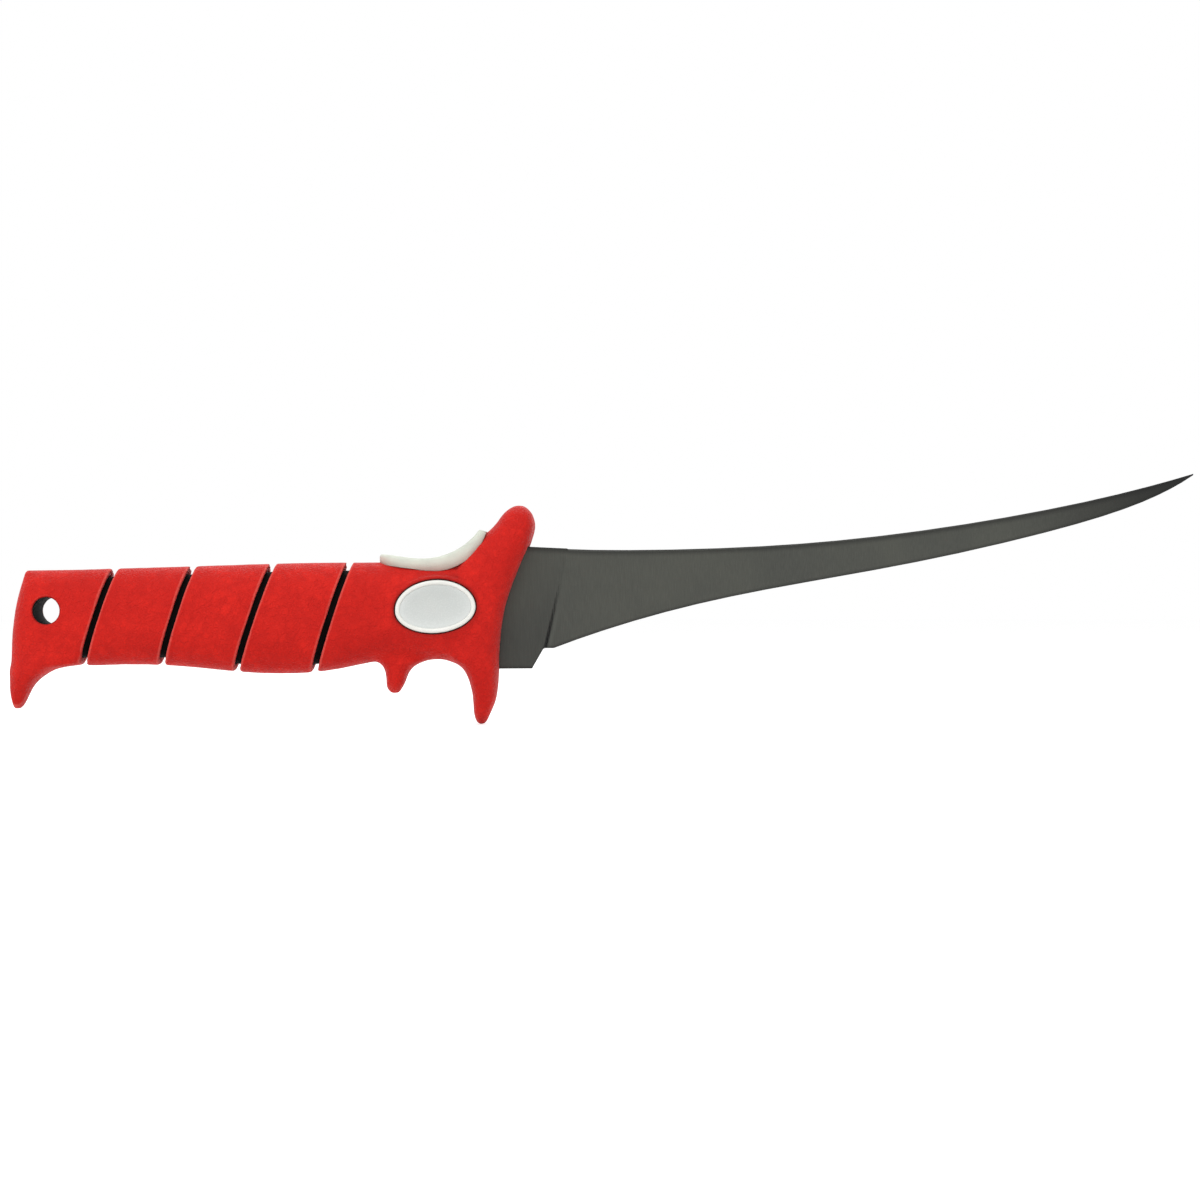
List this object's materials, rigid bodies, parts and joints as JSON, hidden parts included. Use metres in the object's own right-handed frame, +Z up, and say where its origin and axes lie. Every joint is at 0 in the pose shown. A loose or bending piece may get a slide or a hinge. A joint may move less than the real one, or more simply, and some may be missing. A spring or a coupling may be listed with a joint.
{
  "type": "fillet knife",
  "caption": "Fixed-blade fillet knife: slim upswept coated blade in a sectioned rubber grip with hooked heel, finger guard, thumb rest and lanyard hole.",
  "frame": {"origin": "centre of the lanyard hole, on the mid-plane of the knife", "axes": "+X along the knife to the blade's tip, +Z up from the cutting edge to the spine, Y across the thickness; -Y is the right side, the one pictured"},
  "size_m": [0.3547, 0.026, 0.075],
  "materials": {
    "blade_coating": "satin dark warm grey non-stick coating",
    "rivet_steel": "plain turned steel",
    "black_plastic": "matt moulded",
    "red_rubber": "matt, finely textured",
    "cream_plastic": "satin moulded",
    "white_plastic": "gloss moulded",
    "grey_plastic": "gloss moulded panel"
  },
  "bodies": {
    "root": {"blade": "blade_coating", "core_rivets": "rivet_steel", "lanyard_bush": "black_plastic", "core_right": "black_plastic", "core_left": "black_plastic", "grip_pommel": "red_rubber", "grip_band_rear": "red_rubber", "grip_band_middle": "red_rubber", "grip_band_front": "red_rubber", "grip_front": "red_rubber", "thumb_rest": "cream_plastic", "medallion_rim_right": "white_plastic", "medallion_panel_right": "grey_plastic", "medallion_rim_left": "white_plastic", "medallion_panel_left": "grey_plastic"}
  },
  "joints": []
}
